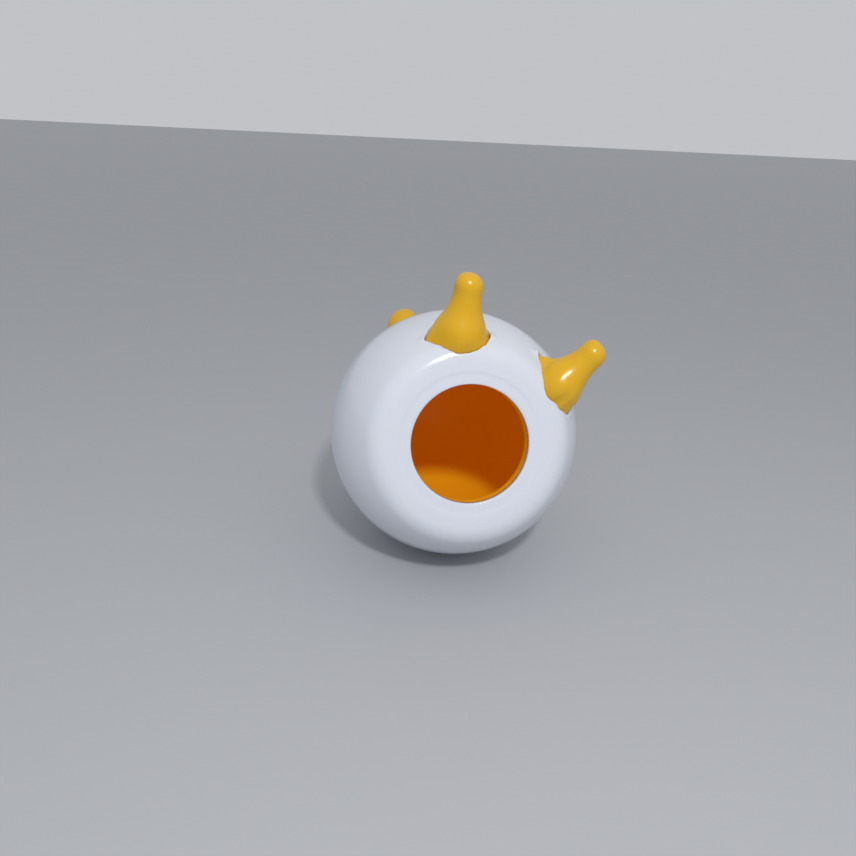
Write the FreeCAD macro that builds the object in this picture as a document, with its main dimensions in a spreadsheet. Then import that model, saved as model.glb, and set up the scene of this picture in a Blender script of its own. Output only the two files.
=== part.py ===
import FreeCAD, Part
import math
import os

import Sketcher
from FreeCAD import Placement, Rotation, Vector

# A hollow egg-shaped toy body with four stub legs, lying on its belly.
#
# Two white shell halves close over two yellow liner halves. A thin space between shell and liner
# holds the foot plate of each soft leg, and the leg comes out through a cracked opening in the shell.
#
# Every piece is drawn about the egg's own axis: Z points out of the round mouth, Y is up and X is to
# the right. The pose at the end lays the egg down with its mouth towards -Y, tilted up a little.
# Lengths are in millimetres and angles in degrees.

SIZES = {
    # The egg: an ellipse in front of its widest section, a longer one behind, and a flat front face.
    "egg_radius": 22.0,
    "front_length": 24.3,
    "rear_length": 37.0,
    "face_station": 17.2,
    "face_fillet": 4.0,
    "mouth_radius": 9.75,
    "mouth_step_radius": 11.7,
    "mouth_step_depth": 0.15,
    # The walls, from the outside in, and the seam behind the widest section.
    "shell_wall": 1.2,
    "plate_space": 0.9,
    "plate_clearance": 0.08,
    "liner_wall": 1.0,
    "collar_width": 1.0,
    "seam_station": -6.0,
    "spigot_length": 2.0,
    "spigot_wall": 0.5,
    "spigot_clearance": 0.06,
    # The legs: where each pair stands on the egg, and how its legs taper and lean.
    "legs_roll": 26.6,
    "front_leg_station": 13.9,
    "front_leg_spread": 31.3,
    "rear_leg_station": -29.0,
    "rear_leg_spread": 45.5,
    "front_leg_height": 10.4,
    "front_leg_taper_height": 7.7,
    "front_leg_tip_radius": 2.3,
    "front_lean_inwards": 0.2,
    "rear_leg_height": 10.6,
    "rear_leg_taper_height": 6.6,
    "rear_leg_tip_radius": 3.4,
    "rear_lean_inwards": 0.08,
    "leg_root_radius": 6.8,
    "leg_root_depth": 3.7,
    "lean_to_middle": 0.155,
    "foot_plate_radius": 7.6,
    "crack_radius": 5.4,
    "crack_clearance": 0.08,
    # The pose on the table.
    "mouth_tilt": 13.4,
}

# Corners of a front pair's cracked openings, going round from the mouth side: angle, and reach as a
# share of crack_radius. The rear pair's are the same, front to back.
LEFT_CRACK = ((0, 0.90), (32, 0.93), (58, 0.97), (88, 1.02), (125, 0.98), (165, 0.86),
              (200, 1.03), (235, 0.90), (268, 1.05), (298, 0.85), (330, 0.80))
RIGHT_CRACK = ((0, 0.80), (25, 0.76), (52, 0.84), (82, 0.97), (122, 1.02), (160, 0.86),
               (200, 1.00), (232, 0.88), (262, 1.04), (292, 0.78), (330, 0.80))

# Each leg: its pair (1 front, -1 rear), its side (-1 left, 1 right), and its crack.
LEGS = {
    "front_left_leg": (1, -1, LEFT_CRACK),
    "front_right_leg": (1, 1, RIGHT_CRACK),
    "rear_left_leg": (-1, -1, LEFT_CRACK),
    "rear_right_leg": (-1, 1, RIGHT_CRACK),
}

# Outlines that are turned about the axis are drawn below it, on the belly side, away from the legs.
BELLY_SIDE = Placement(Vector(0, 0, 0), Rotation(Vector(0, 1, 0), 180))

PARTS_FOLDER = "parts"
CUT_LENGTH = 8.0
SEAM_CUT_RADIUS = 40.0
TOLERANCE = 1e-4

document = FreeCAD.newDocument("egg_toy")
sheet = document.addObject("Spreadsheet::Sheet", "sizes")


def fill_sheet():
    """Write every driving dimension into the sheet under its own alias."""
    for row, (alias, value) in enumerate(SIZES.items(), start=1):
        sheet.set(f"A{row}", alias)
        sheet.set(f"B{row}", str(value))
        sheet.setAlias(f"B{row}", alias)
    document.recompute()


def size(alias):
    """Read one driving dimension from the sheet."""
    return float(getattr(sheet, alias))


def ref(alias):
    """Name one cell of the sheet inside an expression."""
    return f"sizes.{alias}"


def bind(sketch, constraint, expression):
    """Add a driving constraint to a sketch and tie its value to the sheet."""
    index = sketch.addConstraint(constraint)
    sketch.setExpression(f"Constraints[{index}]", expression)


def join(sketch, first, first_end, second, second_end):
    sketch.addConstraint(Sketcher.Constraint("Coincident", first, first_end, second, second_end))


def new_body(label):
    body = document.addObject("PartDesign::Body", label)
    body.Label = label
    return body


def origin_plane(body, role):
    return next(item for item in body.Origin.OriginFeatures if item.Role == role)


def new_sketch(body, name, role, offset=None):
    """Make a sketch on one of the body's own origin planes."""
    sketch = body.newObject("Sketcher::SketchObject", name)
    sketch.AttachmentSupport = [(origin_plane(body, role), "")]
    sketch.MapMode = "FlatFace"
    if offset is not None:
        sketch.AttachmentOffset = offset
    return sketch


def add_line(sketch, start, end):
    line = Part.LineSegment(Vector(start[0], start[1], 0), Vector(end[0], end[1], 0))
    return sketch.addGeometry(line, False)


def add_quarter(sketch, length_alias, inset, first_angle, last_angle):
    """Add a stretch of one of the egg's two ellipses, with its centre and its length held."""
    length = size(length_alias) - inset[0]
    radius = size("egg_radius") - inset[0]
    ellipse = Part.Ellipse(Vector(0, length, 0), Vector(-radius, 0, 0), Vector(0, 0, 0))
    arc = sketch.addGeometry(Part.ArcOfEllipse(ellipse, first_angle, last_angle), False)
    sketch.exposeInternalGeometry(arc)
    long_axis = arc + 1
    short_axis = arc + 2
    join(sketch, arc, 3, -1, 1)
    sketch.addConstraint(Sketcher.Constraint("Vertical", long_axis))
    full_length = Sketcher.Constraint("Distance", long_axis, 2 * length)
    bind(sketch, full_length, f"2 * ({ref(length_alias)} - {inset[1]})")
    return arc, short_axis


def egg_sketch(body, name, inset):
    """Draw half of the egg's outline, inset all round, closed along the axis.

    inset is a pair: its value, and the expression that gives it.
    """
    sketch = new_sketch(body, name, "YZ_Plane", BELLY_SIDE)
    face = size("face_station") - inset[0]
    length = size("front_length") - inset[0]
    radius = size("egg_radius") - inset[0]
    face_angle = math.acos(face / length)
    rear, rear_width = add_quarter(sketch, "rear_length", inset, math.pi, 1.5 * math.pi)
    front, _ = add_quarter(sketch, "front_length", inset, 1.5 * math.pi, 2 * math.pi - face_angle)
    flat = add_line(sketch, (0, face), (radius * math.sin(face_angle), face))
    axis = add_line(sketch, (0, inset[0] - size("rear_length")), (0, face))
    join(sketch, rear, 2, front, 1)
    sketch.addConstraint(Sketcher.Constraint("PointOnObject", front, 1, -1))
    join(sketch, rear, 1, axis, 1)
    join(sketch, axis, 2, flat, 1)
    join(sketch, flat, 2, front, 2)
    sketch.addConstraint(Sketcher.Constraint("PointOnObject", axis, 1, -2))
    sketch.addConstraint(Sketcher.Constraint("Vertical", axis))
    sketch.addConstraint(Sketcher.Constraint("Horizontal", flat))
    full_width = Sketcher.Constraint("Distance", rear_width, 2 * radius)
    bind(sketch, full_width, f"2 * ({ref('egg_radius')} - {inset[1]})")
    face_place = Sketcher.Constraint("DistanceY", -1, 1, flat, 1, face)
    bind(sketch, face_place, f"{ref('face_station')} - {inset[1]}")
    return sketch


def revolve(body, kind, name, sketch):
    """Turn a sketch about the egg's axis: kind is Revolution to add, Groove to cut."""
    feature = body.newObject(f"PartDesign::{kind}", name)
    feature.Profile = sketch
    feature.ReferenceAxis = (sketch, ["V_Axis"])
    feature.Angle = 360.0
    sketch.Visibility = False
    document.recompute()
    return feature


def ring_sketch(body, name, station, rings):
    """Draw circles about the axis on a plane across it; each ring is a value and its expression."""
    sketch = new_sketch(body, name, "XY_Plane")
    sketch.setExpression("AttachmentOffset.Base.z", station)
    for value, expression in rings:
        circle = sketch.addGeometry(Part.Circle(Vector(0, 0, 0), Vector(0, 0, 1), value), False)
        join(sketch, circle, 3, -1, 1)
        bind(sketch, Sketcher.Constraint("Radius", circle, value), expression)
    return sketch


def cut(body, name, sketch, length, both_ways=True, reverse=False):
    """Cut a sketch out of the body, and make sure that it took material away."""
    before = body.Shape.Volume
    pocket = body.newObject("PartDesign::Pocket", name)
    pocket.Profile = sketch
    pocket.Midplane = both_ways
    pocket.Refine = False
    pocket.Reversed = reverse
    pocket.setExpression("Length", length)
    document.recompute()
    if body.Shape.Volume > before - TOLERANCE:
        raise RuntimeError(f"{body.Label}: {name} cut nothing")
    return pocket


def box_ring(body, name, kind, radii, stations):
    """Add or groove a ring with a rectangular section; both pairs are (value, expression) pairs."""
    sketch = new_sketch(body, name + "_section", "YZ_Plane", BELLY_SIDE)
    (inner, inner_text), (outer, outer_text) = radii
    (low, low_text), (high, high_text) = stations
    corners = ((inner, low), (outer, low), (outer, high), (inner, high))
    sides = [add_line(sketch, corners[i], corners[(i + 1) % 4]) for i in range(4)]
    for i in range(4):
        join(sketch, sides[i], 2, sides[(i + 1) % 4], 1)
    for i, direction in enumerate(("Horizontal", "Vertical", "Horizontal", "Vertical")):
        sketch.addConstraint(Sketcher.Constraint(direction, sides[i]))
    bind(sketch, Sketcher.Constraint("DistanceX", -1, 1, sides[0], 1, inner), inner_text)
    bind(sketch, Sketcher.Constraint("DistanceX", -1, 1, sides[0], 2, outer), outer_text)
    bind(sketch, Sketcher.Constraint("DistanceY", sides[0], 1, -1, 1, -low), f"-({low_text})")
    bind(sketch, Sketcher.Constraint("DistanceY", sides[2], 1, -1, 1, -high), f"-({high_text})")
    return revolve(body, kind, name, sketch)


def hollow_egg(label, outer, inner, is_front):
    """Make one half of a hollow egg between two insets, parted at the seam."""
    body = new_body(label)
    revolve(body, "Revolution", "outside", egg_sketch(body, "outside_outline", outer))
    revolve(body, "Groove", "inside", egg_sketch(body, "inside_outline", inner))
    seam = ring_sketch(body, "seam_plane", ref("seam_station"), [(SEAM_CUT_RADIUS, str(SEAM_CUT_RADIUS))])
    cut(body, "seam_cut", seam, f"2 * {ref('rear_length')}", both_ways=False, reverse=not is_front)
    return body


def seam_radius(inset):
    """Radius of the egg at the seam, inset all round: its value and its expression."""
    length = size("rear_length") - inset[0]
    radius = size("egg_radius") - inset[0]
    value = radius * math.sqrt(1 - (size("seam_station") / length) ** 2)
    text = (f"({ref('egg_radius')} - {inset[1]}) * "
            f"sqrt(1 - ({ref('seam_station')} / ({ref('rear_length')} - {inset[1]}))^2)")
    return value, text


def add_spigot(body, inner):
    """Give a rear half the thin ring that plugs into the front half."""
    gap = size("spigot_clearance")
    low = size("seam_station") - size("spigot_length")
    high = size("seam_station") + size("spigot_length") - gap
    radius, text = seam_radius(inner)
    radii = ((radius + gap, f"{text} + {ref('spigot_clearance')}"),
             (radius + gap + size("spigot_wall"),
              f"{text} + {ref('spigot_clearance')} + {ref('spigot_wall')}"))
    stations = ((low, f"{ref('seam_station')} - {ref('spigot_length')}"),
                (high, f"{ref('seam_station')} + {ref('spigot_length')} - {ref('spigot_clearance')}"))
    box_ring(body, "spigot", "Revolution", radii, stations)


def cut_rebate(body, inner):
    """Give a front half the rebate that takes the spigot."""
    gap = size("spigot_clearance")
    low = size("seam_station") - size("spigot_length")
    high = size("seam_station") + size("spigot_length")
    radius, text = seam_radius(inner)
    inside = radius - size("spigot_wall")
    outside = radius + 2 * gap + size("spigot_wall")
    radii = ((inside, f"{text} - {ref('spigot_wall')}"),
             (outside, f"{text} + 2 * {ref('spigot_clearance')} + {ref('spigot_wall')}"))
    stations = ((low, f"{ref('seam_station')} - {ref('spigot_length')}"),
                (high, f"{ref('seam_station')} + {ref('spigot_length')}"))
    box_ring(body, "rebate", "Groove", radii, stations)


def cut_mouth(body, station):
    """Open the round mouth through the front wall."""
    mouth = ring_sketch(body, "mouth_circle", station, [(size("mouth_radius"), ref("mouth_radius"))])
    cut(body, "mouth", mouth, f"2 * {ref('shell_wall')} + 2 * {ref('liner_wall')}")


def pair_name(pair):
    """First word of the names of a pair's own sizes."""
    return "front" if pair > 0 else "rear"


def leg_frame(pair, side):
    """Frame of one leg on the shell: origin on the surface, Z outwards, X towards the mouth."""
    prefix = pair_name(pair)
    station = size(prefix + "_leg_station")
    length = size(prefix + "_length")
    egg_radius = size("egg_radius")
    turn = math.radians(size("legs_roll") + side * size(prefix + "_leg_spread"))
    radius = egg_radius * math.sqrt(1 - (station / length) ** 2)
    outwards = Vector(math.sin(turn), math.cos(turn), 0)
    along = Vector(0, 0, 1)
    normal = outwards * (radius / egg_radius ** 2) + along * (station / length ** 2)
    normal.normalize()
    sideways = along.cross(outwards) * -1
    to_mouth = sideways.cross(normal)
    return Placement(outwards * radius + along * station, Rotation(to_mouth, sideways, normal, "ZXY"))


def crack_sketch(body, name, frame, pair, crack, reach):
    """Draw one cracked opening: straight edges between uneven corners. reach is (value, expression)."""
    sketch = new_sketch(body, name, "XY_Plane", frame)
    shares = [(pair * share * math.cos(math.radians(angle)), share * math.sin(math.radians(angle)))
              for angle, share in crack]
    corners = [(reach[0] * across, reach[0] * up) for across, up in shares]
    count = len(corners)
    sides = [add_line(sketch, corners[i], corners[(i + 1) % count]) for i in range(count)]
    for i in range(count):
        join(sketch, sides[i - 1], 2, sides[i], 1)
        for direction, value, share in zip(("DistanceX", "DistanceY"), corners[i], shares[i]):
            corner_place = Sketcher.Constraint(direction, -1, 1, sides[i], 1, value)
            bind(sketch, corner_place, f"{reach[1]} * {share:.6f}")
    return sketch


def cut_cracks(body, names):
    """Open the cracks that the named legs come out of."""
    reach = (size("crack_radius"), ref("crack_radius"))
    for name in names:
        pair, side, crack = LEGS[name]
        sketch = crack_sketch(body, name + "_crack_outline", leg_frame(pair, side), pair, crack, reach)
        cut(body, name + "_crack", sketch, str(CUT_LENGTH))


def round_face_edge(body):
    """Blend the flat face into the side of the egg."""
    rims = []
    for number, edge in enumerate(body.Shape.Edges, start=1):
        box = edge.BoundBox
        if abs(box.ZMin - size("face_station")) < TOLERANCE and box.ZLength < TOLERANCE:
            rims.append((box.XLength, f"Edge{number}"))
    base = body.Tip
    fillet = body.newObject("PartDesign::Fillet", "face_blend")
    fillet.Base = (base, [max(rims)[1]])
    fillet.setExpression("Radius", ref("face_fillet"))
    document.recompute()


def shell_insets():
    return (0.0, "0"), (size("shell_wall"), ref("shell_wall"))


def liner_insets():
    outer = size("shell_wall") + size("plate_space")
    outer_text = f"({ref('shell_wall')} + {ref('plate_space')})"
    inner = outer + size("liner_wall")
    return (outer, outer_text), (inner, f"({outer_text} + {ref('liner_wall')})")


def make_front_shell():
    outer, inner = shell_insets()
    body = hollow_egg("front_shell", outer, inner, True)
    round_face_edge(body)
    cut_rebate(body, inner)
    cut_cracks(body, ("front_left_leg", "front_right_leg"))
    cut_mouth(body, ref("face_station"))
    step = ring_sketch(body, "mouth_step_circle", ref("face_station"),
                       [(size("mouth_step_radius"), ref("mouth_step_radius"))])
    cut(body, "mouth_step", step, f"2 * {ref('mouth_step_depth')}")
    return body


def make_rear_shell():
    outer, inner = shell_insets()
    body = hollow_egg("rear_shell", outer, inner, False)
    add_spigot(body, inner)
    cut_cracks(body, ("rear_left_leg", "rear_right_leg"))
    return body


def make_front_liner():
    outer, inner = liner_insets()
    body = hollow_egg("front_liner", outer, inner, True)
    cut_rebate(body, inner)
    cut_mouth(body, f"{ref('face_station')} - {outer[1]}")
    bore = (size("mouth_radius"), ref("mouth_radius"))
    rim = (bore[0] + size("collar_width"), f"{bore[1]} + {ref('collar_width')}")
    collar_station = f"{ref('face_station')} - {ref('shell_wall')}"
    circles = ring_sketch(body, "collar_circles", collar_station, [bore, rim])
    collar = body.newObject("PartDesign::Pad", "collar")
    collar.Profile = circles
    collar.Reversed = True
    collar.setExpression("Length", f"{ref('plate_space')} + {ref('liner_wall')} / 2")
    document.recompute()
    return body


def make_rear_liner():
    outer, inner = liner_insets()
    body = hollow_egg("rear_liner", outer, inner, False)
    add_spigot(body, inner)
    return body


def egg_solid(label, inset):
    """Make a whole solid egg, inset all round, to trim other pieces with."""
    body = new_body(label)
    revolve(body, "Revolution", "egg", egg_sketch(body, "egg_outline", inset))
    return body


def horn_sketch(body, pair):
    """Draw half of a leg along its own axis: a wide root, a hollow flare, and a round tip."""
    prefix = pair_name(pair) + "_leg_"
    root = size("leg_root_radius")
    tip = size(prefix + "tip_radius")
    depth = size("leg_root_depth")
    flare = size("shell_wall")
    taper = size(prefix + "taper_height")
    height = size(prefix + "height")
    sketch = new_sketch(body, "half_outline", "XZ_Plane")
    centre = tip + ((root - tip) ** 2 + (taper + flare) ** 2) / (2 * (root - tip))
    base = add_line(sketch, (0, -depth), (root, -depth))
    skirt = add_line(sketch, (root, -depth), (root, -flare))
    start = math.atan2(taper + flare, centre - root)
    hollow_circle = Part.Circle(Vector(centre, taper, 0), Vector(0, 0, 1), centre - tip)
    hollow = sketch.addGeometry(Part.ArcOfCircle(hollow_circle, math.pi, math.pi + start), False)
    stalk = add_line(sketch, (tip, taper), (tip, height - tip))
    cap_circle = Part.Circle(Vector(0, height - tip, 0), Vector(0, 0, 1), tip)
    cap = sketch.addGeometry(Part.ArcOfCircle(cap_circle, 0, math.pi / 2), False)
    axis = add_line(sketch, (0, height), (0, -depth))
    join(sketch, base, 2, skirt, 1)
    join(sketch, skirt, 2, hollow, 2)
    join(sketch, cap, 2, axis, 1)
    join(sketch, axis, 2, base, 1)
    sketch.addConstraint(Sketcher.Constraint("Horizontal", base))
    for line in (skirt, stalk, axis):
        sketch.addConstraint(Sketcher.Constraint("Vertical", line))
    sketch.addConstraint(Sketcher.Constraint("PointOnObject", base, 1, -2))
    sketch.addConstraint(Sketcher.Constraint("PointOnObject", cap, 3, -2))
    sketch.addConstraint(Sketcher.Constraint("Tangent", hollow, 1, stalk, 1))
    sketch.addConstraint(Sketcher.Constraint("Tangent", stalk, 2, cap, 1))
    bind(sketch, Sketcher.Constraint("DistanceY", base, 1, -1, 1, depth), ref("leg_root_depth"))
    bind(sketch, Sketcher.Constraint("DistanceY", skirt, 2, -1, 1, flare), ref("shell_wall"))
    bind(sketch, Sketcher.Constraint("DistanceX", base, 1, base, 2, root), ref("leg_root_radius"))
    bind(sketch, Sketcher.Constraint("DistanceX", -1, 1, stalk, 1, tip), ref(prefix + "tip_radius"))
    bind(sketch, Sketcher.Constraint("DistanceY", -1, 1, stalk, 1, taper), ref(prefix + "taper_height"))
    bind(sketch, Sketcher.Constraint("DistanceY", -1, 1, axis, 1, height), ref(prefix + "height"))
    return sketch


def make_horn(name, pair):
    """Turn the tapering leg itself."""
    body = new_body(name + "_horn")
    revolve(body, "Revolution", "taper", horn_sketch(body, pair))
    return body


def lean(pair, side):
    """Lean a leg back from its end of the egg and in towards the leg beside it."""
    inwards = size(pair_name(pair) + "_lean_inwards")
    direction = Vector(-pair * size("lean_to_middle"), -side * inwards, 1)
    return Placement(Vector(0, 0, 0), Rotation(Vector(0, 0, 1), direction))


def make_plug(name, pair, crack):
    """Pad the crack's outline into a long prism, a little smaller than the opening."""
    body = new_body(name + "_plug")
    reach = (size("crack_radius") - size("crack_clearance"),
             f"({ref('crack_radius')} - {ref('crack_clearance')})")
    pad = body.newObject("PartDesign::Pad", "prism")
    pad.Profile = crack_sketch(body, "outline", Placement(), pair, crack, reach)
    pad.Midplane = True
    pad.setExpression("Length", f"4 * {ref('rear_leg_height')}")
    document.recompute()
    return body


def boolean(kind, label, base, tool):
    feature = document.addObject(f"Part::{kind}", label)
    feature.Label = label
    feature.Base = base
    feature.Tool = tool
    document.recompute()
    return feature


def make_leg(name, plate_top, plate_bottom):
    """One soft leg: the horn where it fills its crack, on a curved foot plate behind the shell."""
    pair, side, crack = LEGS[name]
    frame = POSE.multiply(leg_frame(pair, side))
    horn = make_horn(name, pair)
    plug = make_plug(name, pair, crack)
    disc = document.addObject("Part::Cylinder", name + "_disc")
    disc.setExpression("Radius", ref("foot_plate_radius"))
    disc.setExpression("Height", ref("leg_root_depth"))
    horn.Placement = frame.multiply(lean(pair, side))
    plug.Placement = frame
    disc.Placement = frame.multiply(Placement(Vector(0, 0, -size("leg_root_depth")), Rotation()))
    stem = boolean("Common", name + "_stem", horn, plug)
    plate = boolean("Common", name + "_plate", disc, plate_top)
    whole = boolean("Fuse", name + "_whole", stem, plate)
    return boolean("Cut", name, whole, plate_bottom)


def resting_pose():
    """Tilt the mouth up and lift the egg so that its belly touches the table."""
    tilt = math.radians(size("mouth_tilt"))
    lift = math.hypot(size("egg_radius") * math.cos(tilt), size("rear_length") * math.sin(tilt))
    return Placement(Vector(0, 0, lift), Rotation(Vector(1, 0, 0), 90 - size("mouth_tilt")))


def centre_on_origin(pieces):
    """Slide every piece along the table so that the origin is under the middle of the whole box."""
    box = Part.makeCompound([piece.Shape for piece in pieces]).optimalBoundingBox(False)
    slide = Placement(Vector(-box.Center.x, -box.Center.y, 0), Rotation())
    for piece in pieces:
        piece.Placement = slide.multiply(piece.Placement)
    print(f"Slid by {slide.Base.x:.4f}, {slide.Base.y:.4f} mm; the box is "
          f"{box.XLength:.3f} x {box.YLength:.3f} x {box.ZLength:.3f} mm from z {box.ZMin:.4f}")


fill_sheet()
POSE = resting_pose()

shells_and_liners = [make_front_shell(), make_rear_shell(), make_front_liner(), make_rear_liner()]
for piece in shells_and_liners:
    piece.Placement = POSE

clearance = size("plate_clearance")
top_inset = (size("shell_wall") + clearance, f"({ref('shell_wall')} + {ref('plate_clearance')})")
bottom_inset = (size("shell_wall") + size("plate_space") - clearance,
                f"({ref('shell_wall')} + {ref('plate_space')} - {ref('plate_clearance')})")
plate_top = egg_solid("plate_top_trim", top_inset)
plate_bottom = egg_solid("plate_bottom_trim", bottom_inset)
plate_top.Placement = POSE
plate_bottom.Placement = POSE
legs = [make_leg(name, plate_top, plate_bottom) for name in LEGS]
pieces = shells_and_liners + legs
centre_on_origin(pieces)
document.recompute()

for item in document.Objects:
    if "Invalid" in item.State or "Error" in item.State:
        raise RuntimeError(f"{item.Label} did not recompute: {item.State}")

os.makedirs(PARTS_FOLDER, exist_ok=True)
for piece in pieces:
    shape = piece.Shape
    if shape.isNull() or not shape.isValid() or not shape.Solids:
        raise RuntimeError(f"{piece.Label} has no valid solid")
    shape.exportStep(os.path.join(PARTS_FOLDER, piece.Label + ".step"))
    print(f"{piece.Label}: {len(shape.Solids)} solid, {shape.Volume:.1f} mm3")
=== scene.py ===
import math

import bpy
from mathutils import Matrix, Vector, noise
from mathutils.geometry import delaunay_2d_cdt


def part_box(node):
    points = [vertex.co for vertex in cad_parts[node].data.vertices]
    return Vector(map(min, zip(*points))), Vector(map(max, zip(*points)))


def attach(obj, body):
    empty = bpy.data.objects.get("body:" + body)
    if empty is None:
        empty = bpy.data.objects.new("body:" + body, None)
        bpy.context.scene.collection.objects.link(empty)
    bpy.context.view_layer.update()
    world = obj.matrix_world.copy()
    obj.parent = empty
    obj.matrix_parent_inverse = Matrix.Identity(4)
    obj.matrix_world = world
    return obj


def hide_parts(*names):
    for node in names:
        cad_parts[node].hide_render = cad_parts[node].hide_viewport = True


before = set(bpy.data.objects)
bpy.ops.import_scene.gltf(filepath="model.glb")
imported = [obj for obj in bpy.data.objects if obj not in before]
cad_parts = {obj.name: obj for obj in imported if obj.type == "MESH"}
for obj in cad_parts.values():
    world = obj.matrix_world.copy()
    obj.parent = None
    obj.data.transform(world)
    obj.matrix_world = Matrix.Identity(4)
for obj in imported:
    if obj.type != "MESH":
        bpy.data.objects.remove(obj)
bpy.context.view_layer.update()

# A hollow egg-shaped toy body on its belly, with four soft legs through cracked openings.
#
# Every surface is worked out in the egg's own frame, in millimetres: Z points out of the mouth, Y is
# up, but for the mouth's tilt, and X is to the right. A place on the shell is given by its distance
# along the outline, from the mouth's edge to the rear tip, and its angle round the axis, from Y
# towards X. row_point() turns a point into the row's frame, in metres. Angles round a leg are in
# degrees, and start on the side of the leg that is nearer the mouth.

MM = 0.001

# The egg, as in the CAD model.
EGG_RADIUS = 22.0
FRONT_LENGTH = 24.3
REAR_LENGTH = 37.0
FACE_STATION = 17.2
FACE_BLEND = 4.0
MOUTH_RADIUS = 9.75
STEP_RADIUS = 11.7
SHELL_WALL = 1.2
PLATE_SPACE = 0.9
SEAM_STATION = -6.0
MOUTH_TILT = math.radians(13.4)

# The legs, as in the CAD model.
LEGS_ROLL = 26.6
FRONT_LEG = {"station": 13.9, "spread": 31.3, "inwards": 0.2, "height": 10.4, "taper": 7.7, "tip": 2.3}
REAR_LEG = {"station": -29.0, "spread": 45.5, "inwards": 0.08, "height": 10.6, "taper": 6.6, "tip": 3.4}
LEG_ROOT_RADIUS = 6.8
LEAN_TO_MIDDLE = 0.155

# Edges and fine relief. The step round the mouth is softer and shallower than the CAD's.
STEP_DEPTH = 0.09
STEP_SOFTNESS = 0.30
LIP_ROUND = 0.18
SEAM_ROUND = 0.12
SEAM_GAP = 0.05
CRACK_GAP = 0.05

# The shell next to a crack: its edge curls up a little, and the chips' height dies away outwards.
CURL_HEIGHT = 0.05
CURL_DISTANCE = 0.35
CURL_WIDTH = 0.4
CHIP_FADE = 0.55

# The uneven edge of a crack, as layers of noise: height in millimetres, and fineness.
EDGE_WAVES = ((0.13, 2.6), (0.09, 9.0))

# A leg's foot plate: the share of the crack's reach at which its underside begins, and how far past
# the crack its flat faces and its rounded edge go. PLATE_MARGIN keeps it clear of both walls.
PLATE_START = 0.6
PLATE_FACE_OVERLAP = 0.7
PLATE_EDGE_OVERLAP = 0.8
PLATE_ROUND = 0.1
PLATE_MARGIN = 0.1

# A leg above its plate: the height at which it stops filling the crack, the height at which the horn
# starts, the height over which it turns from the crack's outline to round, and how blunt its tip is.
NECK_TOP = -0.45
HORN_START = -0.38
HORN_BLEND = 3.4
TIP_BLUNTNESS = 0.75

# Mesh densities: spacings in millimetres, and numbers of rows and sides.
OUTLINE_SPACING = 0.1
RING_SPACING = 0.62
CRACK_SPACING = 0.22
BLEND_FINENESS = 1.5
FEWEST_BLEND_ROWS = 6
FEWEST_RING_SIDES = 8
LIP_ROWS = 6
EDGE_ROWS = 4
LEG_SIDES = 96
HORN_ROWS = 40
CAP_ROWS = 14

# How often the range is halved to find a tangent, and the distance at which two points count as one.
HALVINGS = 50
SAME_POINT = 1e-7

# The distance round the egg is measured at least this far from its axis, near the rear tip.
SMALLEST_RING = 4.0

# Corners of each front leg's cracked opening, along the shell's surface: angle, reach in millimetres,
# and 1 where the corner is sharp. The rear pair's are the same, front to back.
LEFT_CRACK = ((18, 4.7, 0), (40, 4.7, 0), (60, 4.85, 0), (84, 5.05, 1), (122, 5.0, 0), (165, 4.7, 0),
              (200, 5.7, 1), (236, 5.5, 0), (268, 6.1, 1), (284, 5.1, 0), (304, 4.5, 0), (330, 4.5, 0),
              (352, 4.75, 0))
RIGHT_CRACK = ((0, 4.6, 0), (26, 4.2, 0), (52, 4.8, 0), (84, 5.35, 0), (122, 5.2, 0), (160, 4.8, 0),
               (200, 5.6, 1), (232, 5.0, 0), (257, 6.4, 1), (290, 4.3, 0), (330, 4.3, 0))

# Lifted chips on each crack's edge: angle, angular width, and height in millimetres.
LEFT_CHIPS = ((84, 9, 0.55), (204, 8, 0.35), (262, 7, 0.25))
RIGHT_CHIPS = ((256, 8, 0.6), (84, 7, 0.3), (202, 8, 0.35))

# Rows round a crack, from its edge outwards: distance from the edge, and drop into the crack.
CRACK_ROWS = ((0.0, 0.20), (0.03, 0.10), (0.08, 0.03), (0.15, 0.0), (0.30, 0.0), (0.55, 0.0), (0.95, 0.0))

# The camera: where it stands from the egg's centre in millimetres, and how it looks.
CAMERA_FROM_EGG = Vector((-25.50, -134.07, 50.94))
CAMERA_HEADING = math.radians(-8.9)
CAMERA_PITCH = math.radians(20.35)
CAMERA_ROLL = math.radians(2.84)
CAMERA_LENS = 33.5
CAMERA_SENSOR = 36.0
CAMERA_CLIP_START = 0.005

# The plastics: how much the gloss varies, how coarse its clouds are, and how deep the grain is.
GLOSS_LOW = 0.85
GLOSS_HIGH = 1.15
CLOUD_SCALE = 60.0
CLOUD_DETAIL = 3.0
GRAIN_DEPTH = 0.5 * MM
PLASTIC_IOR = 1.49

# The stage. The floor's reach and the lamp's place and width are in egg radii.
FLOOR_REACH = 400
KEY_LAMP_PLACE = (0.0, -10.5, 8.9)
KEY_LAMP_WIDTH = 1.0
KEY_LAMP_WATTS = 0.43
SKY_COLOUR = (0.86, 0.88, 0.92)
SKY_STRENGTH = 0.62


def egg_centre():
    """The middle of the egg's widest section, in the row's frame, in metres."""
    shell_low, shell_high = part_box("front_shell")
    rear_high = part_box("rear_shell")[1]
    lift = math.hypot(EGG_RADIUS * math.cos(MOUTH_TILT), REAR_LENGTH * math.sin(MOUTH_TILT)) * MM
    reach = math.hypot(REAR_LENGTH * math.cos(MOUTH_TILT), EGG_RADIUS * math.sin(MOUTH_TILT)) * MM
    return Vector(((shell_low[0] + shell_high[0]) / 2, rear_high[1] - reach, lift))


CENTRE = egg_centre()
TO_ROW = Matrix.Rotation(math.pi / 2 - MOUTH_TILT, 3, "X")


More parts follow.
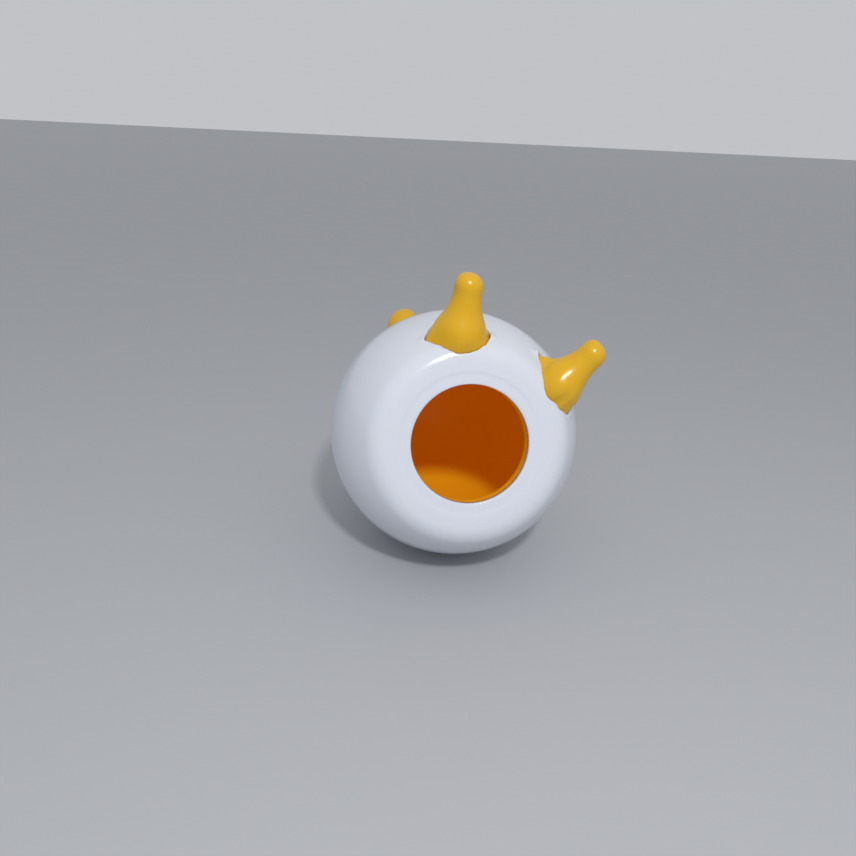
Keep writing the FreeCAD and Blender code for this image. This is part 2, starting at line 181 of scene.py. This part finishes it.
def row_point(point):
    """A point of the egg's frame in the row's frame."""
    return CENTRE + TO_ROW @ (Vector(point) * MM)


# ---------------------------------------------------------------- the egg's outline


def ellipse_point(length, station):
    """Radius and station of a point on the half of the egg that is this long."""
    radius = EGG_RADIUS * math.sqrt(max(0.0, 1 - (station / length) ** 2))
    return radius, station


def ellipse_normal(length, radius, station):
    """The outward normal there, across the axis and along it."""
    across = radius / EGG_RADIUS ** 2
    along = station / length ** 2
    size = math.hypot(across, along)
    return across / size, along / size


def blend_tangent():
    """Station on the front ellipse where the rounded edge of the face begins."""
    low = 0.0
    high = FACE_STATION
    for _ in range(HALVINGS):
        station = (low + high) / 2
        normal = ellipse_normal(FRONT_LENGTH, *ellipse_point(FRONT_LENGTH, station))
        if station - FACE_BLEND * normal[1] > FACE_STATION - FACE_BLEND:
            high = station
        else:
            low = station
    return low


def face_rows(centre_radius):
    """The flat face, from the mouth's edge to where its rounded edge begins."""
    count = math.ceil((centre_radius - MOUTH_RADIUS) / OUTLINE_SPACING)
    return [((MOUTH_RADIUS + (centre_radius - MOUTH_RADIUS) * i / count, FACE_STATION), (0.0, 1.0))
            for i in range(count)]


def blend_rows(centre_radius, sweep):
    """The face's rounded edge."""
    count = max(FEWEST_BLEND_ROWS, math.ceil(FACE_BLEND * sweep / OUTLINE_SPACING * BLEND_FINENESS))
    rows = []
    for i in range(count):
        angle = sweep * i / count
        side = (math.sin(angle), math.cos(angle))
        station = FACE_STATION - FACE_BLEND + FACE_BLEND * side[1]
        rows.append(((centre_radius + FACE_BLEND * side[0], station), side))
    return rows


def ellipse_rows(length, start, end):
    """The egg's side between two stations of one half."""
    first = math.acos(start / length)
    last = math.acos(end / length)
    count = math.ceil(length * (last - first) / OUTLINE_SPACING)
    rows = []
    for i in range(count):
        point = ellipse_point(length, length * math.cos(first + (last - first) * i / count))
        rows.append((point, ellipse_normal(length, *point)))
    return rows


def plain_outline():
    """The egg's outline as points and normals, from the mouth to the rear tip, without fine relief."""
    tangent = blend_tangent()
    tangent_radius = ellipse_point(FRONT_LENGTH, tangent)[0]
    normal = ellipse_normal(FRONT_LENGTH, tangent_radius, tangent)
    centre_radius = tangent_radius - FACE_BLEND * normal[0]
    return (face_rows(centre_radius)
            + blend_rows(centre_radius, math.atan2(normal[0], normal[1]))
            + ellipse_rows(FRONT_LENGTH, tangent, 0.0)
            + ellipse_rows(REAR_LENGTH, 0.0, -REAR_LENGTH)
            + [((0.0, -REAR_LENGTH), (0.0, -1.0))])


class Outline:
    """The outline by distance along it, with its normal, so that any place on it can be looked up."""

    def __init__(self):
        self.rows = plain_outline()
        self.distances = [0.0]
        for (before, _), (after, _) in zip(self.rows, self.rows[1:]):
            step = math.hypot(after[0] - before[0], after[1] - before[1])
            self.distances.append(self.distances[-1] + step)
        self.total = self.distances[-1]

    def at(self, distance):
        """(radius, station), (normal across, normal along) at a distance from the mouth."""
        distance = min(max(distance, 0.0), self.total)
        low = 0
        high = len(self.rows) - 1
        while high - low > 1:
            middle = (low + high) // 2
            if self.distances[middle] > distance:
                high = middle
            else:
                low = middle
        share = (distance - self.distances[low]) / (self.distances[high] - self.distances[low])
        before = self.rows[low]
        after = self.rows[high]
        point = tuple(a + (b - a) * share for a, b in zip(before[0], after[0]))
        normal = tuple(a + (b - a) * share for a, b in zip(before[1], after[1]))
        size = math.hypot(*normal)
        return point, (normal[0] / size, normal[1] / size)

    def distance_of(self, station):
        """Distance along the outline at which it passes a station behind the face."""
        stations = [point[1] for point, _ in self.rows]
        spans = zip(stations, stations[1:], self.distances, self.distances[1:])
        for before, after, start, end in spans:
            if before >= station > after:
                share = (before - station) / (before - after)
                return start + (end - start) * share
        return self.total


OUTLINE = Outline()
SEAM_DISTANCE = OUTLINE.distance_of(SEAM_STATION)


def smooth_step(value):
    """Ease from 0 to 1, held at those outside them."""
    value = min(max(value, 0.0), 1.0)
    return value * value * (3 - 2 * value)


def relief(distance, seam_side):
    """Fine relief on the shell: the step round the mouth, its rounded lip, and the seam's soft edge.

    seam_side is 1 in front of the seam and -1 behind it.
    """
    radius = MOUTH_RADIUS + distance
    height = 0.0
    if radius < STEP_RADIUS + STEP_SOFTNESS:
        up_the_step = (radius - STEP_RADIUS + STEP_SOFTNESS) / (2 * STEP_SOFTNESS)
        height -= STEP_DEPTH * (1 - smooth_step(up_the_step))
    if distance < LIP_ROUND:
        height -= LIP_ROUND - math.sqrt(max(0.0, LIP_ROUND ** 2 - (LIP_ROUND - distance) ** 2))
    from_seam = seam_side * (SEAM_DISTANCE - distance)
    if from_seam < SEAM_ROUND:
        inside = min(SEAM_ROUND, SEAM_ROUND - from_seam)
        height -= SEAM_ROUND - math.sqrt(max(0.0, SEAM_ROUND ** 2 - inside ** 2))
    return height


def shell_point(distance, angle, height=0.0):
    """A point over the shell's plain outside, and the outward normal there, in the egg's frame."""
    (radius, station), (across, along) = OUTLINE.at(distance)
    radius += height * across
    station += height * along
    normal = Vector((across * math.sin(angle), across * math.cos(angle), along))
    return Vector((radius * math.sin(angle), radius * math.cos(angle), station)), normal


# ---------------------------------------------------------------- cracks


def paired(angle, pair):
    """An angle round a front leg as it is, or swapped front to back for a rear leg."""
    return angle if pair > 0 else (180 - angle) % 360


class Leg:
    """One leg's place on the shell, its crack and its lean.

    pair is 1 for the front legs and -1 for the rear ones, and side is -1 on the left and 1 on the
    right. length is a share of the CAD leg's, bend moves the tip to the side and towards the mouth, in
    millimetres, and seed picks the crack's uneven edge.
    """

    def __init__(self, name, pair, side, crack, chips, length, bend, seed):
        self.shape = FRONT_LEG if pair > 0 else REAR_LEG
        self.name = name
        self.length = length
        self.bend = bend
        self.crack = sorted((paired(angle, pair), reach, sharp) for angle, reach, sharp in crack)
        self.chips = [(paired(angle, pair), width, height) for angle, width, height in chips]
        self.seed = seed
        self.distance = OUTLINE.distance_of(self.shape["station"])
        self.angle = math.radians(LEGS_ROLL + side * self.shape["spread"])
        self.origin, self.normal = shell_point(self.distance, self.angle)
        outwards = Vector((math.sin(self.angle), math.cos(self.angle), 0.0))
        self.sideways = Vector((math.cos(self.angle), -math.sin(self.angle), 0.0))
        self.to_mouth = (Vector((0, 0, 1)) - self.normal * self.normal.z).normalized()
        lean = self.normal - self.to_mouth * (pair * LEAN_TO_MIDDLE)
        lean -= self.sideways * (side * self.shape["inwards"])
        self.direction = lean.normalized()
        self.ring_radius = outwards.dot(self.origin)

    def reach(self, turn):
        """How far the crack opens at an angle round the leg."""
        turn %= 360
        corners = self.crack
        for i, (angle, reach, sharp) in enumerate(corners):
            next_angle, next_reach, next_sharp = corners[(i + 1) % len(corners)]
            if i == len(corners) - 1:
                next_angle += 360
                if turn < corners[0][0]:
                    turn += 360
            if angle <= turn < next_angle:
                share = (turn - angle) / (next_angle - angle)
                eased = smooth_step(share)
                if sharp and not next_sharp:
                    eased = 1 - (1 - share) ** 2
                if next_sharp and not sharp:
                    eased = share ** 2
                reach += (next_reach - reach) * eased
                break
        spot = Vector((math.cos(math.radians(turn)), math.sin(math.radians(turn)), 0.0))
        seed = Vector((0.0, 0.0, self.seed))
        for height, fineness in EDGE_WAVES:
            reach += height * noise.noise(spot * fineness + seed)
        return reach

    def lift(self, turn, outwards):
        """Height of the chips and the curled edge, outwards millimetres from the crack's edge."""
        height = CURL_HEIGHT * math.exp(-((outwards - CURL_DISTANCE) / CURL_WIDTH) ** 2)
        for angle, width, chip in self.chips:
            apart = (turn - angle + 180) % 360 - 180
            height += chip * math.exp(-(apart / width) ** 2) * math.exp(-outwards / CHIP_FADE)
        return height

    def place(self, turn, reach):
        """Distance along the outline and angle round the egg of a place near the leg."""
        across = reach * math.sin(math.radians(turn))
        distance = self.distance - reach * math.cos(math.radians(turn))
        ring = max(OUTLINE.at(distance)[0][0], SMALLEST_RING)
        ring = (ring + self.ring_radius) / 2
        return distance, self.angle + across / ring


LEGS = (
    Leg("front_left_leg", pair=1, side=-1, crack=LEFT_CRACK, chips=LEFT_CHIPS,
        length=0.97, bend=(-0.35, 0.0), seed=1.3),
    Leg("front_right_leg", pair=1, side=1, crack=RIGHT_CRACK, chips=RIGHT_CHIPS,
        length=0.92, bend=(-0.55, 0.0), seed=4.1),
    Leg("rear_left_leg", pair=-1, side=-1, crack=LEFT_CRACK, chips=LEFT_CHIPS,
        length=0.975, bend=(0.9, 0.1), seed=7.7),
    Leg("rear_right_leg", pair=-1, side=1, crack=RIGHT_CRACK, chips=RIGHT_CHIPS,
        length=0.975, bend=(0.0, 0.1), seed=9.2),
)

# ---------------------------------------------------------------- meshes


def new_mesh(name, points, faces):
    """A mesh object at the origin, from points in the egg's frame, shaded smooth."""
    mesh = bpy.data.meshes.new(name)
    mesh.from_pydata([row_point(point) for point in points], [], faces)
    mesh.validate()
    mesh.polygons.foreach_set("use_smooth", [True] * len(mesh.polygons))
    piece = bpy.data.objects.new(name, mesh)
    bpy.context.scene.collection.objects.link(piece)
    return piece


class Hole:
    """A crack's outline on the flat sheet, which the plain grid has to keep clear of."""

    def __init__(self, corners):
        self.corners = corners
        self.centre = sum(corners, Vector((0, 0))) / len(corners)
        self.radius = max((corner - self.centre).length for corner in corners)

    def covers(self, point):
        """Whether a point lies inside the outline."""
        if (point - self.centre).length > self.radius:
            return False
        inside = False
        for a, b in zip(self.corners, self.corners[1:] + self.corners[:1]):
            if (a.y > point.y) != (b.y > point.y):
                if point.x < (b.x - a.x) * (point.y - a.y) / (b.y - a.y) + a.x:
                    inside = not inside
        return inside

    def crowds(self, point, clearance):
        """Whether a point lies inside the outline or closer to a corner than the clearance."""
        if (point - self.centre).length > self.radius + clearance:
            return False
        return self.covers(point) or min((corner - point).length for corner in self.corners) < clearance


class Sheet:
    """One half of the shell, laid out flat so that it can be divided into triangles.

    seam_side is 1 for the front half, laid out round the mouth, and -1 for the rear half, laid out
    round the rear tip.
    """

    def __init__(self, seam_side):
        self.seam_side = seam_side
        self.places = []
        self.heights = []
        self.flats = []
        self.faces = []

    def add(self, distance, angle, lift=0.0):
        """Add a place on the shell and return its number."""
        spread = distance + MOUTH_RADIUS if self.seam_side > 0 else OUTLINE.total - distance
        self.places.append((distance, angle))
        self.heights.append(relief(distance, self.seam_side) + lift)
        self.flats.append(Vector((spread * math.cos(angle), spread * math.sin(angle))))
        return len(self.places) - 1

    def add_crack(self, leg):
        """The rows that round a crack's edge. Returns the outermost row, which joins the grid."""
        count = math.ceil(2 * math.pi * LEG_ROOT_RADIUS / CRACK_SPACING)
        rows = []
        for outwards, drop in CRACK_ROWS:
            row = []
            for i in range(count):
                turn = 360 * i / count
                distance, angle = leg.place(turn, leg.reach(turn) + outwards)
                row.append(self.add(distance, angle, leg.lift(turn, outwards) - drop))
            rows.append(row)
        for inner, outer in zip(rows, rows[1:]):
            for i in range(count):
                j = (i + 1) % count
                self.faces.append((inner[i], inner[j], outer[j], outer[i]))
        return rows[-1]

    def add_ring(self, stop, holes, complete):
        """Add a ring round the egg. Unless it has to be complete, it leaves out what crowds a hole."""
        radius = OUTLINE.at(stop)[0][0]
        if radius < RING_SPACING / 4:
            return [self.add(stop, 0.0)]
        count = max(FEWEST_RING_SIDES, math.ceil(2 * math.pi * radius / RING_SPACING))
        ring = []
        for i in range(count):
            place = self.add(stop, 2 * math.pi * i / count)
            if complete or not any(hole.crowds(self.flats[place], RING_SPACING / 2) for hole in holes):
                ring.append(place)
        return ring

    def triangulate(self, used, rims, holes):
        """Fill the sheet between its rims and round its holes."""
        order = sorted(used)
        lookup = {place: i for i, place in enumerate(order)}
        edges = []
        for rim in rims:
            edges += [(lookup[a], lookup[b]) for a, b in zip(rim, rim[1:] + rim[:1])]
        made = delaunay_2d_cdt([self.flats[i] for i in order], edges, [], 0, SAME_POINT)
        corners = made[0]
        triangles = made[2]
        origins = made[3]
        for triangle in triangles:
            middle = sum((corners[i] for i in triangle), Vector((0, 0))) / len(triangle)
            if not any(hole.covers(middle) for hole in holes):
                self.faces.append(tuple(order[origins[i][0]] for i in triangle))

    def walled(self, name):
        """Give the sheet its thickness and the walls of its openings, and make it a mesh."""
        outside = [shell_point(*place, height)[0] for place, height in zip(self.places, self.heights)]
        inside = [shell_point(*place, -SHELL_WALL)[0] for place in self.places]
        faces = []
        for face in self.faces:
            a, b, c = (outside[i] for i in face[:3])
            if (b - a).cross(c - a).dot(shell_point(*self.places[face[0]])[1]) < 0:
                face = face[::-1]
            faces.append(face)
        count = len(outside)
        back = [tuple(i + count for i in reversed(face)) for face in faces]
        sides = {(a, b) for face in faces for a, b in zip(face, face[1:] + face[:1])}
        walls = [(b, a, a + count, b + count) for a, b in sides if (b, a) not in sides]
        return new_mesh(name, outside + inside, faces + back + walls)


def ring_stops(first, last, fine):
    """Distances for the rings, closer together in each fine band, which is a start, an end and a count."""
    count = math.ceil((last - first) / RING_SPACING)
    stops = [first + (last - first) * i / count for i in range(count + 1)]
    for start, end, steps in fine:
        margin = RING_SPACING / 4
        stops = [stop for stop in stops if not start - margin < stop < end + margin]
        stops += [start + (end - start) * i / steps for i in range(steps + 1)]
    return sorted(stops)


def front_sheet(name, legs):
    """The front shell: round the mouth, out to the seam, with its two cracks left open."""
    last = SEAM_DISTANCE - SEAM_GAP / 2
    step = STEP_RADIUS - MOUTH_RADIUS
    fine = ((0.0, LIP_ROUND, LIP_ROWS),
            (step - STEP_SOFTNESS, step + STEP_SOFTNESS, EDGE_ROWS),
            (last - SEAM_ROUND, last, EDGE_ROWS))
    sheet = Sheet(1)
    rims = [sheet.add_crack(leg) for leg in legs]
    holes = [Hole([sheet.flats[i] for i in rim]) for rim in rims]
    stops = ring_stops(0.0, last, fine)
    rings = [sheet.add_ring(stop, holes, stop in (stops[0], stops[-1])) for stop in stops]
    mouth = Hole([sheet.flats[i] for i in rings[0]])
    used = {i for row in rims + rings for i in row}
    sheet.triangulate(used, rims + [rings[0], rings[-1]], holes + [mouth])
    return sheet.walled(name)


def rear_sheet(name, legs):
    """The rear shell: from the seam to the rear tip, with its two cracks left open."""
    first = SEAM_DISTANCE + SEAM_GAP / 2
    sheet = Sheet(-1)
    rims = [sheet.add_crack(leg) for leg in legs]
    holes = [Hole([sheet.flats[i] for i in rim]) for rim in rims]
    stops = ring_stops(first, OUTLINE.total, ((first, first + SEAM_ROUND, EDGE_ROWS),))
    rings = [sheet.add_ring(stop, holes, stop == stops[0]) for stop in stops]
    used = {i for row in rims + rings for i in row}
    sheet.triangulate(used, rims + [rings[0]], holes)
    return sheet.walled(name)


# ---------------------------------------------------------------- legs


def horn_radius(shape, height):
    """The leg's radius at a height up its own axis: a concave flare, then the tip's own radius."""
    drop = shape["taper"] + SHELL_WALL
    widening = LEG_ROOT_RADIUS - shape["tip"]
    arc = (drop ** 2 + widening ** 2) / (2 * widening)
    below = max(0.0, shape["taper"] - height)
    return shape["tip"] + arc - math.sqrt(max(0.0, arc ** 2 - below ** 2))


def leg_row(leg, reach_at, height):
    """A closed row that follows the shell's surface, at a height over it."""
    row = []
    for i in range(LEG_SIDES):
        turn = 360 * i / LEG_SIDES
        distance, angle = leg.place(turn, reach_at(turn))
        row.append(shell_point(distance, angle, height)[0])
    return row


def horn_middle(leg, height):
    """The middle of the horn at a height up its axis, which bends a little off the straight."""
    bent = (height / leg.shape["height"]) ** 2
    middle = leg.origin + leg.direction * height * leg.length
    middle += leg.sideways * leg.bend[0] * bent + leg.to_mouth * leg.bend[1] * bent
    return middle


def round_row(leg, height, radius):
    """A closed round row across the leg's own axis."""
    across = (leg.to_mouth - leg.direction * leg.to_mouth.dot(leg.direction)).normalized()
    aside = leg.direction.cross(across)
    if aside.dot(leg.sideways) < 0:
        aside = -aside
    middle = horn_middle(leg, height)
    row = []
    for i in range(LEG_SIDES):
        turn = 2 * math.pi * i / LEG_SIDES
        row.append(middle + (across * math.cos(turn) + aside * math.sin(turn)) * radius)
    return row


def plate_rows(leg, bottom, top):
    """The foot plate under the shell, and the neck that rises from it into the crack."""
    rows = [leg_row(leg, lambda turn: PLATE_START * leg.reach(turn), bottom)]
    for overlap, height in ((PLATE_FACE_OVERLAP, bottom),
                            (PLATE_EDGE_OVERLAP, bottom + PLATE_ROUND),
                            (PLATE_EDGE_OVERLAP, top - PLATE_ROUND),
                            (PLATE_FACE_OVERLAP, top)):
        rows.append(leg_row(leg, lambda turn: leg.reach(turn) + overlap, height))
    for height in (top, top / 2, NECK_TOP):
        rows.append(leg_row(leg, lambda turn: leg.reach(turn) - CRACK_GAP, height))
    return rows


def horn_rows(leg, cap_height):
    """The horn, from the crack's outline at its foot to a round section, up to the tip's cap."""
    foot_radius = horn_radius(leg.shape, HORN_START)
    rows = []
    for i in range(HORN_ROWS + 1):
        height = HORN_START + (cap_height - HORN_START) * i / HORN_ROWS
        radius = horn_radius(leg.shape, height)
        share = smooth_step(max(0.0, height - HORN_START) / HORN_BLEND)
        foot = leg_row(leg, lambda turn: (leg.reach(turn) - CRACK_GAP) * radius / foot_radius, height)
        horn = round_row(leg, height, radius)
        rows.append([low.lerp(high, share) for low, high in zip(foot, horn)])
    return rows


def cap_rows(leg, cap_height):
    """The blunt rounded tip, without its topmost point."""
    tip = leg.shape["tip"]
    rows = []
    for i in range(1, CAP_ROWS):
        tilt = math.pi / 2 * i / CAP_ROWS
        radius = tip * math.cos(tilt) ** TIP_BLUNTNESS
        rows.append(round_row(leg, cap_height + tip * math.sin(tilt), radius))
    return rows


def make_leg(leg):
    """The soft leg: a plate held under the shell, a foot that fills the crack, and a tapering horn."""
    bottom = -SHELL_WALL - PLATE_SPACE + PLATE_MARGIN
    top = -SHELL_WALL - PLATE_MARGIN
    cap_height = leg.shape["height"] - leg.shape["tip"]
    plate = plate_rows(leg, bottom, top)
    rows = plate + horn_rows(leg, cap_height) + cap_rows(leg, cap_height)
    points = [point for row in rows for point in row]
    points += [horn_middle(leg, leg.shape["height"]), leg.origin + leg.normal * bottom]
    below = len(points) - 1
    above = below - 1
    last_row = above - LEG_SIDES
    faces = []
    for start in range(0, above - LEG_SIDES, LEG_SIDES):
        for i in range(LEG_SIDES):
            j = (i + 1) % LEG_SIDES
            faces.append((start + i, start + j, start + LEG_SIDES + j, start + LEG_SIDES + i))
    for i in range(LEG_SIDES):
        j = (i + 1) % LEG_SIDES
        faces.append((last_row + i, last_row + j, above))
        faces.append((j, i, below))
    # A face low on the horn shows which way round the faces run. They are made to look outwards.
    a, b, c = (points[i] for i in faces[LEG_SIDES * len(plate)][:3])
    if (b - a).cross(c - a).dot(a - leg.origin) < 0:
        faces = [face[::-1] for face in faces]
    return new_mesh(leg.name + "_skin", points, faces)


# ---------------------------------------------------------------- materials


def main_shader(material):
    """The shader that every plastic here is made with."""
    return material.node_tree.nodes["Principled BSDF"]


def new_material(name, colour, roughness, shade=0.04, grain=0.01, grain_scale=900.0):
    """A plastic whose colour, gloss and surface all vary slightly."""
    material = bpy.data.materials.new(name)
    material.use_nodes = True
    nodes = material.node_tree.nodes
    links = material.node_tree.links
    shader = main_shader(material)
    place = nodes.new("ShaderNodeTexCoord")
    cloud = nodes.new("ShaderNodeTexNoise")
    cloud.inputs["Scale"].default_value = CLOUD_SCALE
    cloud.inputs["Detail"].default_value = CLOUD_DETAIL
    links.new(place.outputs["Object"], cloud.inputs["Vector"])
    tone = nodes.new("ShaderNodeMix")
    tone.data_type = "RGBA"
    tone.inputs["A"].default_value = (*[channel * (1 - shade) for channel in colour], 1)
    tone.inputs["B"].default_value = (*colour, 1)
    links.new(cloud.outputs["Fac"], tone.inputs["Factor"])
    links.new(tone.outputs["Result"], shader.inputs["Base Color"])
    gloss = nodes.new("ShaderNodeMapRange")
    gloss.inputs["To Min"].default_value = roughness * GLOSS_LOW
    gloss.inputs["To Max"].default_value = roughness * GLOSS_HIGH
    links.new(cloud.outputs["Fac"], gloss.inputs["Value"])
    links.new(gloss.outputs["Result"], shader.inputs["Roughness"])
    speckle = nodes.new("ShaderNodeTexNoise")
    speckle.inputs["Scale"].default_value = grain_scale
    links.new(place.outputs["Object"], speckle.inputs["Vector"])
    bump = nodes.new("ShaderNodeBump")
    bump.inputs["Strength"].default_value = grain
    bump.inputs["Distance"].default_value = GRAIN_DEPTH
    links.new(speckle.outputs["Fac"], bump.inputs["Height"])
    links.new(bump.outputs["Normal"], shader.inputs["Normal"])
    shader.inputs["IOR"].default_value = PLASTIC_IOR
    return material


def shell_material():
    """Glossy white plastic, very slightly cool."""
    return new_material("shell_plastic", (0.69, 0.72, 0.79), roughness=0.17, shade=0.02)


def liner_material_with_painted_glow():
    """Orange-yellow plastic. A faint painted glow, an emission, stands in for the little light that passes
    through the walls and bounces inside.
    """
    material = new_material("liner_plastic_with_painted_glow", (0.95, 0.48, 0.008), roughness=0.45)
    shader = main_shader(material)
    # Painted glow: a faint orange emission that lights the liner from within, though it is no lamp.
    shader.inputs["Emission Color"].default_value = (1.0, 0.34, 0.0, 1)
    shader.inputs["Emission Strength"].default_value = 0.04
    return material


def leg_material():
    """Soft yellow rubber that lets light a millimetre or less into its surface."""
    material = new_material("leg_rubber", (0.76, 0.43, 0.008), roughness=0.25, grain=0.02)
    shader = main_shader(material)
    shader.inputs["Subsurface Weight"].default_value = 0.15
    shader.inputs["Subsurface Radius"].default_value = (1.0, 0.5, 0.1)
    shader.inputs["Subsurface Scale"].default_value = MM
    return material


def floor_material():
    """Plain pale grey paint."""
    return new_material("floor_paint", (0.46, 0.47, 0.49), roughness=0.55, shade=0.01, grain_scale=300.0)


# ---------------------------------------------------------------- stage


def build_floor():
    """The table plane, which reaches far enough behind the egg to make a horizon."""
    mesh = bpy.data.meshes.new("floor")
    reach = FLOOR_REACH * EGG_RADIUS * MM
    corners = [(-reach, -reach, 0), (reach, -reach, 0), (reach, reach, 0), (-reach, reach, 0)]
    mesh.from_pydata(corners, [], [(0, 1, 2, 3)])
    floor = bpy.data.objects.new("floor", mesh)
    bpy.context.scene.collection.objects.link(floor)
    mesh.materials.append(floor_material())


def add_lamp(name, from_egg, width, watts):
    """A soft square lamp that faces the egg. Its place is in egg radii from the egg's centre."""
    lamp = bpy.data.lights.new(name, "AREA")
    lamp.shape = "SQUARE"
    lamp.size = width * EGG_RADIUS * MM
    lamp.energy = watts
    holder = bpy.data.objects.new(name, lamp)
    holder.location = CENTRE + Vector(from_egg) * EGG_RADIUS * MM
    holder.rotation_euler = (CENTRE - holder.location).to_track_quat("-Z", "Y").to_euler()
    bpy.context.scene.collection.objects.link(holder)


def light_scene():
    """One lamp in front of the egg and above it, under an even pale sky."""
    add_lamp("key_lamp", KEY_LAMP_PLACE, KEY_LAMP_WIDTH, KEY_LAMP_WATTS)
    world = bpy.data.worlds.new("studio")
    world.use_nodes = True
    background = world.node_tree.nodes["Background"]
    background.inputs["Color"].default_value = (*SKY_COLOUR, 1)
    background.inputs["Strength"].default_value = SKY_STRENGTH
    bpy.context.scene.world = world


def add_camera():
    """A close view from in front of the mouth and a little above it."""
    camera = bpy.data.cameras.new("camera")
    camera.lens = CAMERA_LENS
    camera.sensor_width = CAMERA_SENSOR
    camera.clip_start = CAMERA_CLIP_START
    holder = bpy.data.objects.new("camera", camera)
    turn = (Matrix.Rotation(CAMERA_HEADING, 4, "Z") @ Matrix.Rotation(math.pi / 2 - CAMERA_PITCH, 4, "X")
            @ Matrix.Rotation(CAMERA_ROLL, 4, "Z"))
    holder.matrix_world = Matrix.Translation(CENTRE + CAMERA_FROM_EGG * MM) @ turn
    bpy.context.scene.collection.objects.link(holder)
    bpy.context.scene.camera = holder


# ---------------------------------------------------------------- the whole


def dress(piece, material, slot, *replaced):
    """Give a piece its material; slot is not used. A new piece also rides the body and replaces its CAD
    node.
    """
    piece.data.materials.clear()
    piece.data.materials.append(material)
    if replaced:
        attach(piece, "root")
        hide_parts(*replaced)


shell_paint = shell_material()
liner_paint = liner_material_with_painted_glow()
leg_paint = leg_material()
dress(front_sheet("front_shell_skin", LEGS[:2]), shell_paint, "shell", "front_shell")
dress(rear_sheet("rear_shell_skin", LEGS[2:]), shell_paint, "shell", "rear_shell")
for leg in LEGS:
    dress(make_leg(leg), leg_paint, "leg", leg.name)
for liner in ("front_liner", "rear_liner"):
    dress(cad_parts[liner], liner_paint, "liner")

build_floor()
light_scene()
add_camera()
bpy.context.scene.view_settings.view_transform = "Standard"
